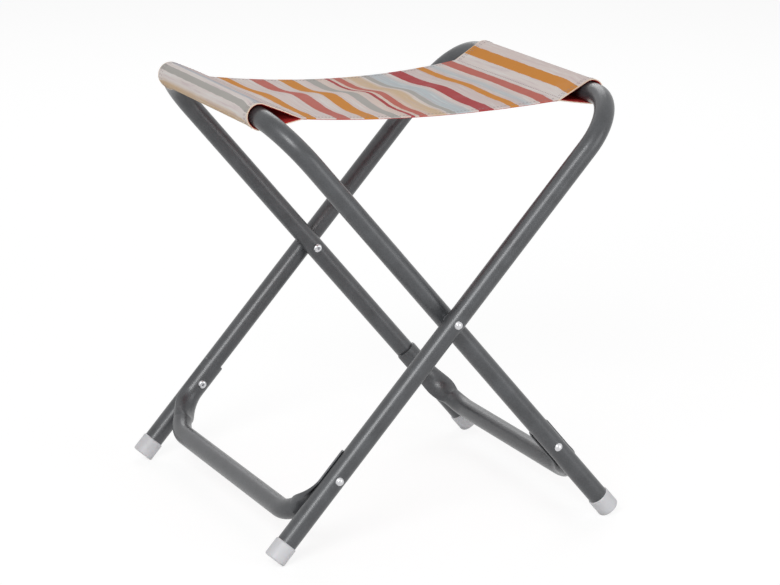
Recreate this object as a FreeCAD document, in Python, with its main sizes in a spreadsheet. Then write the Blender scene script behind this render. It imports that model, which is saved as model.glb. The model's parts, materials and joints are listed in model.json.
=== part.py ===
import FreeCAD, Part
import math
import os
import Sketcher

# Folding fishing stool: two bent tube frames crossed on a pivot, with a cloth seat between
# their top bars.  Millimetres.  Z is up and the floor is Z = 0.  Y runs along the seat bars,
# X from the left seat bar to the right one.  The origin is on the floor, midway between the
# four feet.  The inner frame carries the left seat bar, the outer frame the right one.

Vector = FreeCAD.Vector
Placement = FreeCAD.Placement
Rotation = FreeCAD.Rotation

os.makedirs("parts", exist_ok=True)
doc = FreeCAD.newDocument("fishing_stool")

# Sizes that a user would set
drivingSizes = {
    "tube_outer_dia": 20.0,
    "tube_wall": 1.2,
    "leg_half_angle": 40.84,
    "outer_leg_spacing": 369.8,
    "leg_gap": 3.0,
    "inner_bar_reach": 262.0,
    "outer_bar_reach": 266.0,
    "frame_bend_radius": 55.0,
    "foot_reach": 282.0,
    "cap_outer_dia": 22.4,
    "cap_length": 19.5,
    "cap_base": 3.0,
    "cap_rim_radius": 2.0,
    "cap_lip_bevel": 1.0,
    "floor_flat_depth": 0.5,
    "stretcher_rivet_drop": 186.0,
    "stretcher_bar_drop": 239.0,
    "stretcher_bend_radius": 45.0,
    "saddle_top_drop": 160.0,
    "saddle_corner_radius": 4.0,
    "swell_end_angle": 50.0,
    "crushed_edge_fullness": 8.0,
    "crushed_edge_angle": 20.0,
    "swell_stations": 4,
    "rivet_shank_dia": 5.0,
    "rivet_head_dia": 8.5,
    "rivet_head_height": 2.5,
    "rivet_tail_dia": 8.9,
    "rivet_tail_height": 2.2,
    "rivet_tail_land_share": 0.55,
    "rivet_hollow_dia": 3.2,
    "rivet_hollow_depth": 5.0,
    "spacer_outer_dia": 12.0,
    "seat_width": 246.0,
    "cloth_thickness": 1.2,
    "left_seam_inset": 39.0,
    "right_seam_inset": 31.0,
    "left_seam_drop": 2.7,
    "right_seam_drop": 5.7,
    "hem_sag": 8.5,
    "hem_waist": 10.0,
    "seat_ridge_rise": 4.7,
    "fold_fade_power": 0.78,
    "flat_ply_share": 0.87,
}

# Clearances, named once and used wherever two pieces meet
clearances = {
    "seat_fit": 0.05,
    "pivot_fit": 0.08,
    "hinge_side_gap": 0.3,
    "sleeve_fit": 0.15,
    "skirt_margin": 0.3,
}

# Sizes that follow from the ones above
derivedSizes = {
    "tube_radius": "tube_outer_dia / 2",
    "tube_bore_radius": "tube_radius - tube_wall",
    "outer_leg_offset": "outer_leg_spacing / 2",
    "inner_leg_offset": "outer_leg_offset - tube_outer_dia - leg_gap",
    "tube_end_reach": "foot_reach - cap_base",
    "cap_radius": "cap_outer_dia / 2",
    "tube_seat_radius": "tube_radius + seat_fit",
    "cap_end_radius": "cap_radius - cap_rim_radius",
    "cap_bevel_top_radius": "cap_radius - cap_lip_bevel",
    "cap_bevel_start": "cap_length - cap_lip_bevel",
    "pivot_height": "(foot_reach - cap_rim_radius) * cos(leg_half_angle * 1 deg)"
                    " + cap_end_radius * sin(leg_half_angle * 1 deg)"
                    " + cap_rim_radius - floor_flat_depth",
    "rivet_shank_radius": "rivet_shank_dia / 2",
    "rivet_hole_radius": "rivet_shank_radius + seat_fit",
    "pivot_hole_radius": "rivet_shank_radius + pivot_fit",
    "rivet_head_radius": "rivet_head_dia / 2",
    "head_skirt": "tube_radius - sqrt(tube_radius * tube_radius"
                  " - rivet_head_radius * rivet_head_radius) + skirt_margin",
    "head_total": "head_skirt + rivet_head_height",
    "head_dome_radius": "(rivet_head_radius * rivet_head_radius"
                        " + rivet_head_height * rivet_head_height) / (2 * rivet_head_height)",
    "rivet_tail_radius": "rivet_tail_dia / 2",
    "saddle_radius": "tube_radius + seat_fit + 2 * tube_wall",
    "tail_skirt": "saddle_radius - sqrt(saddle_radius * saddle_radius"
                  " - rivet_tail_radius * rivet_tail_radius) + skirt_margin",
    "tail_total": "tail_skirt + rivet_tail_height",
    "tail_land_radius": "rivet_tail_radius * rivet_tail_land_share",
    "tail_roll_radius": "rivet_tail_height",
    "spacer_radius": "spacer_outer_dia / 2",
    "sleeve_bore_radius": "tube_radius + sleeve_fit",
    "sleeve_radius": "sleeve_bore_radius + cloth_thickness",
}

sheet = doc.addObject("Spreadsheet::Sheet", "sizes")
row = 0
for table, asFormula in ((drivingSizes, False), (clearances, False), (derivedSizes, True)):
    for alias, value in table.items():
        row += 1
        sheet.set("A%d" % row, alias)
        sheet.set("B%d" % row, "=" + value if asFormula else str(value))
        sheet.setAlias("B%d" % row, alias)
doc.recompute()


def size(alias):
    value = sheet.get(alias)
    return float(getattr(value, "Value", value))


halfAngle = size("leg_half_angle")
pivotPoint = Vector(0, 0, size("pivot_height"))
alongY = Vector(0, 1, 0)
outerFrame = Placement(pivotPoint, Rotation(alongY, halfAngle))
innerFrame = Placement(pivotPoint, Rotation(alongY, -halfAngle))
frames = {
    "outer": (outerFrame, "outer_leg_offset", "outer_bar_reach"),
    "inner": (innerFrame, "inner_leg_offset", "inner_bar_reach"),
}
sides = {"near": -1, "far": 1}


def bind(target, path, alias):
    target.setExpression(path, "sizes." + alias)


def bodyPlane(body, role):
    for feature in body.Origin.OriginFeatures:
        if feature.Role == role:
            return feature


def newSketch(body, name, role):
    sketch = body.newObject("Sketcher::SketchObject", name)
    sketch.AttachmentSupport = [(bodyPlane(body, role), "")]
    sketch.MapMode = "FlatFace"
    return sketch


def addSize(sketch, kind, points, alias):
    index = sketch.addConstraint(Sketcher.Constraint(kind, *points, size(alias)))
    bind(sketch, "Constraints[%d]" % index, alias)


def finishObject(thing):
    doc.recompute()
    states = set(thing.State)
    if states & {"Invalid", "Error"} or thing.Shape.isNull() or not thing.Shape.isValid():
        raise ValueError("%s did not build: %s" % (thing.Label, thing.State))
    return thing


def frameAxis(framePlacement, across, along):
    """A point of a frame's middle plane, measured from the pivot."""
    return framePlacement.multVec(Vector(0, across, along))


def sweptTube(label, offsetAlias, endAlias, topAlias, outerAlias, boreAlias):
    """A tube bent to an upturned U, hollow, pivot axis at its own origin."""
    body = doc.addObject("PartDesign::Body", label)
    offset = size(offsetAlias)
    end = size(endAlias)
    top = size(topAlias)
    bend = size("frame_bend_radius")
    path = newSketch(body, label + "_path", "YZ_Plane")
    shoulder = top - bend
    quarter = math.pi / 2
    path.addGeometry([
        Part.LineSegment(Vector(-offset, -end, 0), Vector(-offset, shoulder, 0)),
        Part.ArcOfCircle(
            Part.Circle(Vector(bend - offset, shoulder, 0), Vector(0, 0, 1), bend),
            quarter, 2 * quarter),
        Part.LineSegment(Vector(bend - offset, top, 0), Vector(offset - bend, top, 0)),
        Part.ArcOfCircle(
            Part.Circle(Vector(offset - bend, shoulder, 0), Vector(0, 0, 1), bend),
            0, quarter),
        Part.LineSegment(Vector(offset, shoulder, 0), Vector(offset, -end, 0)),
    ], False)
    for first, firstEnd, second, secondEnd in (
            (0, 2, 1, 2), (1, 1, 2, 1), (2, 2, 3, 2), (3, 1, 4, 1)):
        path.addConstraint(
            Sketcher.Constraint("Tangent", first, firstEnd, second, secondEnd))
    path.addConstraint(Sketcher.Constraint("Vertical", 0))
    path.addConstraint(Sketcher.Constraint("Horizontal", 2))
    path.addConstraint(Sketcher.Constraint("Vertical", 4))
    addSize(path, "Radius", (1,), "frame_bend_radius")
    addSize(path, "Radius", (3,), "frame_bend_radius")
    addSize(path, "DistanceX", (0, 1, -1, 1), offsetAlias)
    addSize(path, "DistanceX", (-1, 1, 4, 2), offsetAlias)
    addSize(path, "DistanceY", (0, 1, -1, 1), endAlias)
    addSize(path, "DistanceY", (4, 2, -1, 1), endAlias)
    addSize(path, "DistanceY", (-1, 1, 2, 1), topAlias)
    ring = newSketch(body, label + "_ring", "XY_Plane")
    ring.AttachmentOffset = Placement(Vector(0, 0, -end), Rotation())
    ring.setExpression("AttachmentOffset.Base.z", "-sizes." + endAlias)
    centre = Vector(0, -offset, 0)
    for index, alias in enumerate((outerAlias, boreAlias)):
        ring.addGeometry(Part.Circle(centre, Vector(0, 0, 1), size(alias)), False)
        addSize(ring, "Radius", (index,), alias)
    ring.addConstraint(Sketcher.Constraint("Coincident", 0, 3, 1, 3))
    ring.addConstraint(Sketcher.Constraint("PointOnObject", 0, 3, -2))
    addSize(ring, "DistanceY", (0, 3, -1, 1), offsetAlias)
    doc.recompute()
    pipe = body.newObject("PartDesign::AdditivePipe", label + "_pipe")
    pipe.Profile = ring
    pipe.Spine = path
    body.Tip = pipe
    return finishObject(body)


def turnedBody(label, corners):
    """A turned solid.  Corners go anticlockwise: distance out, height, arc to the next."""
    body = doc.addObject("PartDesign::Body", label)
    outline = newSketch(body, label + "_outline", "XZ_Plane")
    spots = [
        Vector(size(out) if out else 0, size(up) if up else 0, 0) for out, up, arc in corners]
    count = len(corners)
    for index, (out, up, arc) in enumerate(corners):
        begin = spots[index]
        finish = spots[(index + 1) % count]
        if arc:
            chord = finish - begin
            radius = size(arc)
            reach = math.sqrt(max(radius ** 2 - (chord.Length / 2) ** 2, 0))
            inward = Vector(-chord.y, chord.x, 0).normalize()
            middle = (begin + finish) * 0.5 + inward * reach
            first = math.atan2(begin.y - middle.y, begin.x - middle.x)
            last = math.atan2(finish.y - middle.y, finish.x - middle.x)
            circle = Part.Circle(middle, Vector(0, 0, 1), radius)
            outline.addGeometry(Part.ArcOfCircle(circle, first, last), False)
            addSize(outline, "Radius", (index,), arc)
        else:
            outline.addGeometry(Part.LineSegment(begin, finish), False)
    for index, (out, up, arc) in enumerate(corners):
        outline.addConstraint(
            Sketcher.Constraint("Coincident", index, 2, (index + 1) % count, 1))
        if out:
            addSize(outline, "DistanceX", (-1, 1, index, 1), out)
        else:
            outline.addConstraint(Sketcher.Constraint("PointOnObject", index, 1, -2))
        if up:
            addSize(outline, "DistanceY", (-1, 1, index, 1), up)
        else:
            outline.addConstraint(Sketcher.Constraint("PointOnObject", index, 1, -1))
    doc.recompute()
    turn = body.newObject("PartDesign::Revolution", label + "_turn")
    turn.Profile = outline
    turn.ReferenceAxis = (outline, ["V_Axis"])
    turn.Angle = 360
    body.Tip = turn
    return finishObject(body)


def rod(label, radiusAlias, length, start, direction):
    """A plain cylinder from a point along a direction."""
    cylinder = doc.addObject("Part::Cylinder", label)
    bind(cylinder, "Radius", radiusAlias)
    cylinder.Height = length
    cylinder.Placement = Placement(start, Rotation(Vector(0, 0, 1), direction))
    return finishObject(cylinder)


def cut(label, base, tool):
    result = doc.addObject("Part::Cut", label)
    result.Base = base
    result.Tool = tool
    return finishObject(result)


def fuse(label, pieces):
    result = doc.addObject("Part::MultiFuse", label)
    result.Shapes = pieces
    return finishObject(result)


def throughRods(label, framePlacement, pivotAlias):
    """The two straight bores that cross a frame: the pivot and the stretcher rivets."""
    span = size("outer_leg_spacing") + size("tube_outer_dia") * 2
    tools = []
    for name, drop, alias in (
            ("pivot", 0, pivotAlias),
            ("stretcher", size("stretcher_rivet_drop"), "rivet_hole_radius")):
        start = frameAxis(framePlacement, -span / 2, -drop)
        tools.append(rod(label + "_" + name + "_bore", alias, span, start, alongY))
    return fuse(label + "_bores", tools)


def frameTube(name):
    framePlacement, offsetAlias, topAlias = frames[name]
    label = name + "_frame_tube"
    blank = sweptTube(
        label + "_blank", offsetAlias, "tube_end_reach", topAlias,
        "tube_radius", "tube_bore_radius")
    blank.Placement = framePlacement
    holeAlias = "pivot_hole_radius" if name == "inner" else "rivet_hole_radius"
    return cut(label, blank, throughRods(label, framePlacement, holeAlias))


def loftSolid(sections):
    """A smooth solid through a row of outlines."""
    ruled = False
    closed = False
    highestDegree = 3
    return Part.makeLoft(sections, True, ruled, closed, highestDegree)


def crushedHalfWidth():
    """Half the crushed tube's width, measured round the leg: its girth stays the same."""
    wall = size("tube_wall")
    return math.pi * (size("tube_radius") - wall / 2) / 2 + wall / 2


def tubeSection(centre, outward, share, shrink):
    """Outline of the tube across its swelling end, share 0 crushed and share 1 round."""
    radius = size("tube_radius")
    wall = size("tube_wall")
    thick = wall + (radius - wall) * share - shrink
    wide = crushedHalfWidth() + (radius - crushedHalfWidth()) * share - shrink
    curve = (1 - share) / (radius + size("seat_fit") + wall)
    fullness = size("crushed_edge_fullness") * (1 - share)

    def spot(turn):
        flat = math.cos(turn) * wide
        full = math.sqrt((1 + fullness) / (1 + fullness * math.sin(turn) ** 2))
        deep = math.sin(turn) * full * thick
        side = flat
        lift = -deep
        if share < 1:
            side = (1 / curve + deep) * math.sin(flat * curve)
            lift = 1 / curve - (1 / curve + deep) * math.cos(flat * curve)
        return centre + Vector(side, 0, 0) + outward * lift

    edge = math.radians(size("crushed_edge_angle"))
    straight = math.pi
    turns = [
        (edge, straight / 2, straight - edge),
        (straight - edge, straight, straight + edge),
        (straight + edge, 3 * straight / 2, 2 * straight - edge),
        (2 * straight - edge, 2 * straight, 2 * straight + edge),
    ]
    arcs = [Part.Arc(*[spot(turn) for turn in three]).toShape() for three in turns]
    return Part.Wire(arcs)


def stretcherShape(offset):
    """Tube bent at both ends, each end crushed to a saddle that hugs the leg's inner half."""
    radius = size("tube_radius")
    wall = size("tube_wall")
    bend = size("stretcher_bend_radius")
    drop = size("stretcher_bar_drop")
    armPlace = offset - radius - size("seat_fit") - wall
    bendCentre = Vector(0, armPlace - bend, bend - drop)
    swellEnd = math.radians(size("swell_end_angle"))
    saddleTop = -size("saddle_top_drop")

    def station(turn):
        outward = Vector(0, math.cos(turn), -math.sin(turn))
        return bendCentre + outward * bend, outward

    def swollen(turn):
        return (1 - math.cos(turn)) / (1 - math.cos(swellEnd))

    steps = int(size("swell_stations"))
    turns = [swellEnd * step / steps for step in range(steps + 1)]
    skin = [tubeSection(*station(turn), swollen(turn), 0) for turn in turns]
    hollow = [tubeSection(*station(turn), swollen(turn), wall) for turn in turns[1:]]
    swell = loftSolid(skin).cut(loftSolid(hollow))
    saddleLength = saddleTop - bendCentre.z
    saddle = Part.Face(skin[0]).extrude(Vector(0, 0, saddleLength))
    halfWide = saddle.BoundBox.XMax
    reach = offset + radius
    window = Part.makeBox(
        2 * halfWide, reach, drop, Vector(-halfWide, 0, saddleTop - drop))
    topEdges = [
        edge for edge in window.Edges
        if abs(edge.CenterOfMass.z - saddleTop) < wall
        and abs(abs(edge.CenterOfMass.x) - halfWide) < wall]
    window = window.makeFillet(size("saddle_corner_radius"), topEdges)
    arm = swell.fuse(saddle.common(window))
    roundStart = station(swellEnd)[0]
    bendMiddle = station((swellEnd + math.pi / 2) / 2)[0]
    barEnd = station(math.pi / 2)[0]
    farArc = Part.Arc(roundStart, bendMiddle, barEnd).toShape()
    nearArc = farArc.mirror(Vector(0, 0, 0), alongY)
    bar = Part.makeLine(barEnd, Vector(0, -barEnd.y, barEnd.z))
    spine = Part.Wire(Part.sortEdges([farArc, bar, nearArc])[0])
    pathWay = Vector(0, -math.sin(swellEnd), -math.cos(swellEnd))
    tubes = []
    for tubeRadius in (radius, radius - wall):
        ring = Part.Wire([Part.makeCircle(tubeRadius, roundStart, pathWay)])
        tubes.append(spine.makePipeShell([ring], True, False))
    barTube = tubes[0].cut(tubes[1])
    return barTube.fuse([arm, arm.mirror(Vector(0, 0, 0), alongY)])


def stretcher(name):
    framePlacement, offsetAlias = frames[name][:2]
    label = name + "_stretcher"
    blank = doc.addObject("Part::Feature", label + "_blank")
    blank.Shape = stretcherShape(size(offsetAlias))
    blank.Placement = framePlacement
    span = size("outer_leg_spacing")
    start = frameAxis(framePlacement, -span / 2, -size("stretcher_rivet_drop"))
    bore = rod(label + "_rivet_bore", "rivet_hole_radius", span, start, alongY)
    return cut(label, blank, bore)


def footCap(name, side):
    framePlacement, offsetAlias = frames[name][:2]
    label = "%s_foot_cap_%s" % (name, side)
    blank = turnedBody(label + "_blank", [
        (None, None, None),
        ("cap_end_radius", None, "cap_rim_radius"),
        ("cap_radius", "cap_rim_radius", None),
        ("cap_radius", "cap_bevel_start", None),
        ("cap_bevel_top_radius", "cap_length", None),
        ("tube_seat_radius", "cap_length", None),
        ("tube_seat_radius", "cap_base", None),
        (None, "cap_base", None),
    ])
    place = Placement(
        Vector(0, sides[side] * size(offsetAlias), -size("foot_reach")), Rotation())
    blank.Placement = framePlacement.multiply(place)
    reach = size("cap_outer_dia") * 2
    floor = doc.addObject("Part::Box", label + "_floor")
    floor.Length = reach
    floor.Width = reach
    floor.Height = reach
    foot = blank.Placement.Base
    floor.Placement = Placement(Vector(foot.x - reach / 2, foot.y - reach / 2, -reach), Rotation())
    return cut(label, blank, floor)


def rivetHead(label, crest, outward, legPoint, legWay):
    """Domed head whose underside is formed to the tube."""
    dome = turnedBody(label + "_dome", [
        (None, None, None),
        ("rivet_head_radius", None, None),
        ("rivet_head_radius", "head_skirt", "head_dome_radius"),
        (None, "head_total", None),
    ])
    turned = Rotation(Vector(0, 0, 1), outward)
    dome.Placement = Placement(crest - outward * size("head_skirt"), turned)
    reach = size("rivet_head_dia") * 2
    seat = rod(label + "_seat", "tube_seat_radius", reach, legPoint - legWay * (reach / 2), legWay)
    return cut(label + "_head", dome, seat)


def rivetTail(label, seatPoint, inward, skirt):
    """Rolled tail, its skirt reaching back round a curved seat."""
    landAlias = "tail_total" if skirt else "rivet_tail_height"
    rollStart = "tail_skirt" if skirt else None
    corners = [(None, None, None)]
    if skirt:
        corners.append(("rivet_tail_radius", None, None))
    corners += [
        ("rivet_tail_radius", rollStart, "tail_roll_radius"),
        ("tail_land_radius", landAlias, None),
        (None, landAlias, None),
    ]
    tail = turnedBody(label + "_tail", corners)
    back = size("tail_skirt") if skirt else 0
    tail.Placement = Placement(seatPoint - inward * back, Rotation(Vector(0, 0, 1), inward))
    return tail


def rivet(label, crest, outward, length, legPoint, legWay, saddleSeat):
    """Semi tubular rivet from its domed head inward; length is under the head."""
    inward = outward * -1
    tailPoint = crest + inward * length
    head = rivetHead(label, crest, outward, legPoint, legWay)
    tail = rivetTail(label, tailPoint, inward, saddleSeat)
    if saddleSeat:
        reach = size("rivet_tail_dia") * 2
        start = legPoint - legWay * (reach / 2)
        seat = rod(label + "_saddle_seat", "saddle_radius", reach, start, legWay)
        tail = cut(label + "_tail_cut", tail, seat)
    overlap = size("rivet_head_height") / 2
    shank = rod(
        label + "_shank", "rivet_shank_radius", length + 2 * overlap,
        tailPoint + inward * overlap, outward)
    solid = fuse(label + "_solid", [head, shank, tail])
    hollow = doc.addObject("Part::Cylinder", label + "_hollow")
    hollow.Radius = size("rivet_hollow_dia") / 2
    hollow.Height = 2 * size("rivet_hollow_depth")
    mouth = tailPoint + inward * (size("rivet_tail_height") + size("rivet_hollow_depth"))
    hollow.Placement = Placement(mouth, Rotation(Vector(0, 0, 1), outward))
    return cut(label, solid, finishObject(hollow))


def pivotRivet(side):
    outward = Vector(0, sides[side], 0)
    legWay = outerFrame.Rotation.multVec(Vector(0, 0, 1))
    legPoint = pivotPoint + outward * size("outer_leg_offset")
    crest = legPoint + outward * size("tube_radius")
    inside = size("inner_leg_offset") - size("tube_radius") - size("hinge_side_gap")
    length = size("outer_leg_offset") + size("tube_radius") - inside
    return rivet("pivot_rivet_" + side, crest, outward, length, legPoint, legWay, False)


def stretcherRivet(name, side):
    framePlacement, offsetAlias = frames[name][:2]
    outward = Vector(0, sides[side], 0)
    legWay = framePlacement.Rotation.multVec(Vector(0, 0, 1))
    legPoint = frameAxis(
        framePlacement, sides[side] * size(offsetAlias), -size("stretcher_rivet_drop"))
    crest = legPoint + outward * size("tube_radius")
    length = size("tube_radius") + size("saddle_radius")
    label = "%s_stretcher_rivet_%s" % (name, side)
    return rivet(label, crest, outward, length, legPoint, legWay, True)


def pivotSpacer(side):
    """Ring between the crossed legs, seated on the outer leg, a hair off the inner leg."""
    label = "pivot_spacer_" + side
    outward = Vector(0, sides[side], 0)
    legWay = outerFrame.Rotation.multVec(Vector(0, 0, 1))
    legPoint = pivotPoint + outward * size("outer_leg_offset")
    start = pivotPoint + outward * (
        size("inner_leg_offset") + size("tube_radius") + size("hinge_side_gap"))
    radius = size("spacer_radius")
    sink = size("tube_radius") - math.sqrt(size("tube_radius") ** 2 - radius ** 2)
    length = size("leg_gap") - size("hinge_side_gap") + sink
    ring = rod(label + "_disc", "spacer_radius", length, start, outward)
    bore = rod(
        label + "_bore", "rivet_hole_radius", length * 3, start - outward * length, outward)
    reach = size("spacer_outer_dia") * 2
    leg = rod(label + "_leg", "tube_seat_radius", reach, legPoint - legWay * (reach / 2), legWay)
    return cut(label, ring, fuse(label + "_tools", [bore, leg]))


def seamPoint(name):
    """Where the two plies of a sleeve are sewn together, seen along the bar."""
    bar = barCentre(name, 0)[0]
    if name == "inner":
        return bar + Vector(size("left_seam_inset"), 0, -size("left_seam_drop"))
    return bar - Vector(size("right_seam_inset"), 0, size("right_seam_drop"))


def barCentre(name, place):
    """Centre of a seat bar at a place across, and how much the bend widens its section."""
    framePlacement, offsetAlias, topAlias = frames[name]
    bendRadius = size("frame_bend_radius")
    beyond = max(0, abs(place) - size(offsetAlias) + bendRadius)
    turn = math.asin(beyond / bendRadius)
    drop = bendRadius * (1 - math.cos(turn))
    return frameAxis(framePlacement, place, size(topAlias) - drop), 1 / math.cos(turn)


def wrapTurns(name, place=0):
    """Angles at which the upper and lower ply leave the bar, from the inboard level."""
    bar, growth = barCentre(name, place)
    gap = seamPoint(name) - bar
    middle = size("sleeve_bore_radius") + size("cloth_thickness") / 2
    tilt = math.atan2(gap.z, abs(gap.x))
    spread = math.acos(middle * growth / math.hypot(gap.x, gap.z))
    return tilt + spread, tilt - spread


def seatSleeve(name, label):
    """Cloth wrapped round a seat bar, open inboard where its two plies leave the bar."""
    framePlacement, offsetAlias, topAlias = frames[name]
    wrap = sweptTube(
        label + "_wrap", offsetAlias, "saddle_top_drop", topAlias,
        "sleeve_radius", "sleeve_bore_radius")
    wrap.Placement = framePlacement
    bar = barCentre(name, 0)[0]
    width = size("seat_width")
    reach = size("tube_outer_dia") * 2
    window = doc.addObject("Part::Box", label + "_window")
    window.Length = 2 * reach
    window.Width = width
    window.Height = 2 * reach
    window.Placement = Placement(Vector(bar.x - reach, -width / 2, bar.z - reach), Rotation())
    kept = doc.addObject("Part::Common", label + "_kept")
    kept.Base = wrap
    kept.Tool = finishObject(window)
    finishObject(kept)
    upper, lower = wrapTurns(name)
    inboard = 1 if name == "inner" else -1
    begin = Vector(inboard * math.cos(lower), 0, math.sin(lower))
    axis = alongY * -inboard
    wedge = doc.addObject("Part::Cylinder", label + "_opening")
    wedge.Radius = reach
    wedge.Height = 2 * width
    wedge.Angle = math.degrees(upper - lower)
    turned = Rotation(begin, axis.cross(begin), axis, "ZXY")
    wedge.Placement = Placement(bar - axis * width, turned)
    return cut(label, kept, finishObject(wedge))


def seatPanel():
    """Cloth between the sleeves with its sag and long folds, and the plies up to the bars."""
    thick = size("cloth_thickness")
    half = size("seat_width") / 2
    leftSeam = seamPoint("inner")
    rightSeam = seamPoint("outer")
    foldLines = 9
    bendLines = 4
    crossLines = 9
    foldTurns = 0.75
    foldPower = size("fold_fade_power")

    def leave(name, place, ply):
        # a ply touches the bar and runs on to the plane where the sleeve ends
        inboard = 1 if name == "inner" else -1
        bar, growth = barCentre(name, place)
        turn = wrapTurns(name, place)[ply]
        outward = Vector(inboard * math.cos(turn), 0, math.sin(turn))
        along = Vector(-inboard * math.sin(turn), 0, math.cos(turn))
        sleeveEnd = wrapTurns(name)[ply]
        planeWay = Vector(-inboard * math.sin(sleeveEnd), 0, math.cos(sleeveEnd))
        plies = []
        for radius in (size("sleeve_bore_radius"), size("sleeve_radius")):
            touch = bar + outward * radius * growth
            offPlane = (touch - barCentre(name, 0)[0]).dot(planeWay)
            plies.append(touch - along * (offPlane / along.dot(planeWay)))
        return plies

    def crownSpot(along, place):
        belly = 4 * along * (1 - along)
        out = abs(place) / half
        fold = size("seat_ridge_rise") * math.cos(2 * math.pi * foldTurns * out) * (1 - out) ** foldPower
        fade = (1 - along ** 2) * (1 - (1 - along) ** 8)
        lift = fold * fade - size("hem_sag") * belly
        return leftSeam + (rightSeam - leftSeam) * along + Vector(0, place, lift)

    straight = min(
        size("inner_leg_offset") - size("frame_bend_radius"), half * size("flat_ply_share"))
    places = [straight * (2 * line / (foldLines - 1) - 1) for line in range(foldLines)]
    for line in range(bendLines):
        beyond = straight + (half - straight) * (line + 1) / bendLines
        places = [-beyond] + places + [beyond]
    sections = []
    for place in places:
        shift = Vector(0, place, 0)
        leftTop = leave("inner", place, 0)
        leftLow = leave("inner", place, 1)
        rightTop = leave("outer", place, 0)
        rightLow = leave("outer", place, 1)
        crown = []
        for step in range(crossLines):
            crown.append(crownSpot(step / (crossLines - 1), place))
        up = Vector(0, 0, thick / 2)
        over = [spot + up for spot in crown]
        under = [spot - up for spot in crown]
        leftCrotch = leftSeam + shift - Vector(thick, 0, 0)
        rightCrotch = rightSeam + shift + Vector(thick, 0, 0)
        top = Part.BSplineCurve()
        top.interpolate(over)
        low = Part.BSplineCurve()
        low.interpolate(under)
        corners = [
            (rightTop[1], rightTop[0], rightCrotch, rightLow[0], rightLow[1], under[-1]),
            (leftLow[1], leftLow[0], leftCrotch, leftTop[0], leftTop[1], over[0]),
        ]
        edges = [top.toShape()]
        previous = over[-1]
        for corner in corners[0]:
            edges.append(Part.makeLine(previous, corner))
            previous = corner
        edges.append(low.toShape())
        previous = under[0]
        for corner in corners[1]:
            edges.append(Part.makeLine(previous, corner))
            previous = corner
        sections.append(Part.Wire(Part.sortEdges(edges)[0]))
    leftBar = barCentre("inner", 0)[0]
    rightBar = barCentre("outer", 0)[0]
    outline = []
    ends = {"left": [], "right": []}
    for across in (-half, half):
        spots = [
            Vector(point.x, across, 0) for point in (leftBar, leftSeam, rightSeam, rightBar)]
        waist = (spots[1] + spots[2]) / 2
        waist.y -= math.copysign(size("hem_waist"), across)
        outline.append(Part.makeLine(spots[0], spots[1]))
        outline.append(Part.Arc(spots[1], waist, spots[2]).toShape())
        outline.append(Part.makeLine(spots[2], spots[3]))
        ends["left"].append(spots[0])
        ends["right"].append(spots[3])
    for pair in ends.values():
        outline.append(Part.makeLine(*pair))
    window = Part.Face(Part.Wire(Part.sortEdges(outline)[0]))
    window = window.extrude(Vector(0, 0, leftSeam.z * 2))
    panel = doc.addObject("Part::Feature", "seat_panel")
    panel.Shape = loftSolid(sections).common(window)
    panel.Placement = Placement()
    return finishObject(panel)


nodes = []
for frameName in frames:
    nodes.append(frameTube(frameName))
    nodes.append(stretcher(frameName))
    for sideName in sides:
        nodes.append(footCap(frameName, sideName))
        nodes.append(stretcherRivet(frameName, sideName))
for sideName in sides:
    nodes.append(pivotRivet(sideName))
    nodes.append(pivotSpacer(sideName))
nodes.append(seatSleeve("inner", "seat_sleeve_left"))
nodes.append(seatSleeve("outer", "seat_sleeve_right"))
nodes.append(seatPanel())

doc.recompute()
for thing in doc.Objects:
    if set(thing.State) & {"Invalid", "Error"}:
        raise ValueError("%s is in state %s" % (thing.Label, thing.State))
for node in nodes:
    shape = node.Shape
    if shape.isNull() or not shape.isValid() or len(shape.Solids) != 1:
        raise ValueError("%s is not one sound solid" % node.Label)
    shape.exportStep("parts/%s.step" % node.Label)
    box = shape.BoundBox
    print("%-30s %9.1f mm3  x %7.1f %7.1f  y %7.1f %7.1f  z %7.1f %7.1f" % (
        node.Label, shape.Volume, box.XMin, box.XMax, box.YMin, box.YMax, box.ZMin, box.ZMax))
print("pivot height %.2f" % size("pivot_height"))
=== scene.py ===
import json
import math

import bpy
from mathutils import Matrix, Vector


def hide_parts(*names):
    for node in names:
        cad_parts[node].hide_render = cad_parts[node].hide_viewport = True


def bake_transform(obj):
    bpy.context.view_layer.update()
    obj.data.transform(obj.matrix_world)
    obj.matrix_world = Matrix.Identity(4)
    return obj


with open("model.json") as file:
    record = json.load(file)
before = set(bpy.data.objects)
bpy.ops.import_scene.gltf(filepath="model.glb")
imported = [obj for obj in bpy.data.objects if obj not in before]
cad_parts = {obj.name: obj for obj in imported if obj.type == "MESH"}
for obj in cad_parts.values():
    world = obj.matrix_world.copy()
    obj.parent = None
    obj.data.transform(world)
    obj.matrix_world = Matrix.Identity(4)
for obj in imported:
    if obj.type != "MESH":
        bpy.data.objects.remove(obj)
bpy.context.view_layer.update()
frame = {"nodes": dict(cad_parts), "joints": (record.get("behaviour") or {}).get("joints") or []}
print("frame loaded")


def clearSelection():
    bpy.ops.object.select_all(action="DESELECT")


def takeObject(name):
    # the active object, renamed with its mesh
    piece = bpy.context.object
    piece.name = name
    piece.data.name = name
    return piece


def paintWith(piece, *materials):
    piece.data.materials.clear()
    for material in materials:
        piece.data.materials.append(material)


def joinPieces(pieces, name):
    clearSelection()
    for piece in pieces:
        piece.select_set(True)
    bpy.context.view_layer.objects.active = pieces[0]
    bpy.ops.object.join()
    return takeObject(name)


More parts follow.
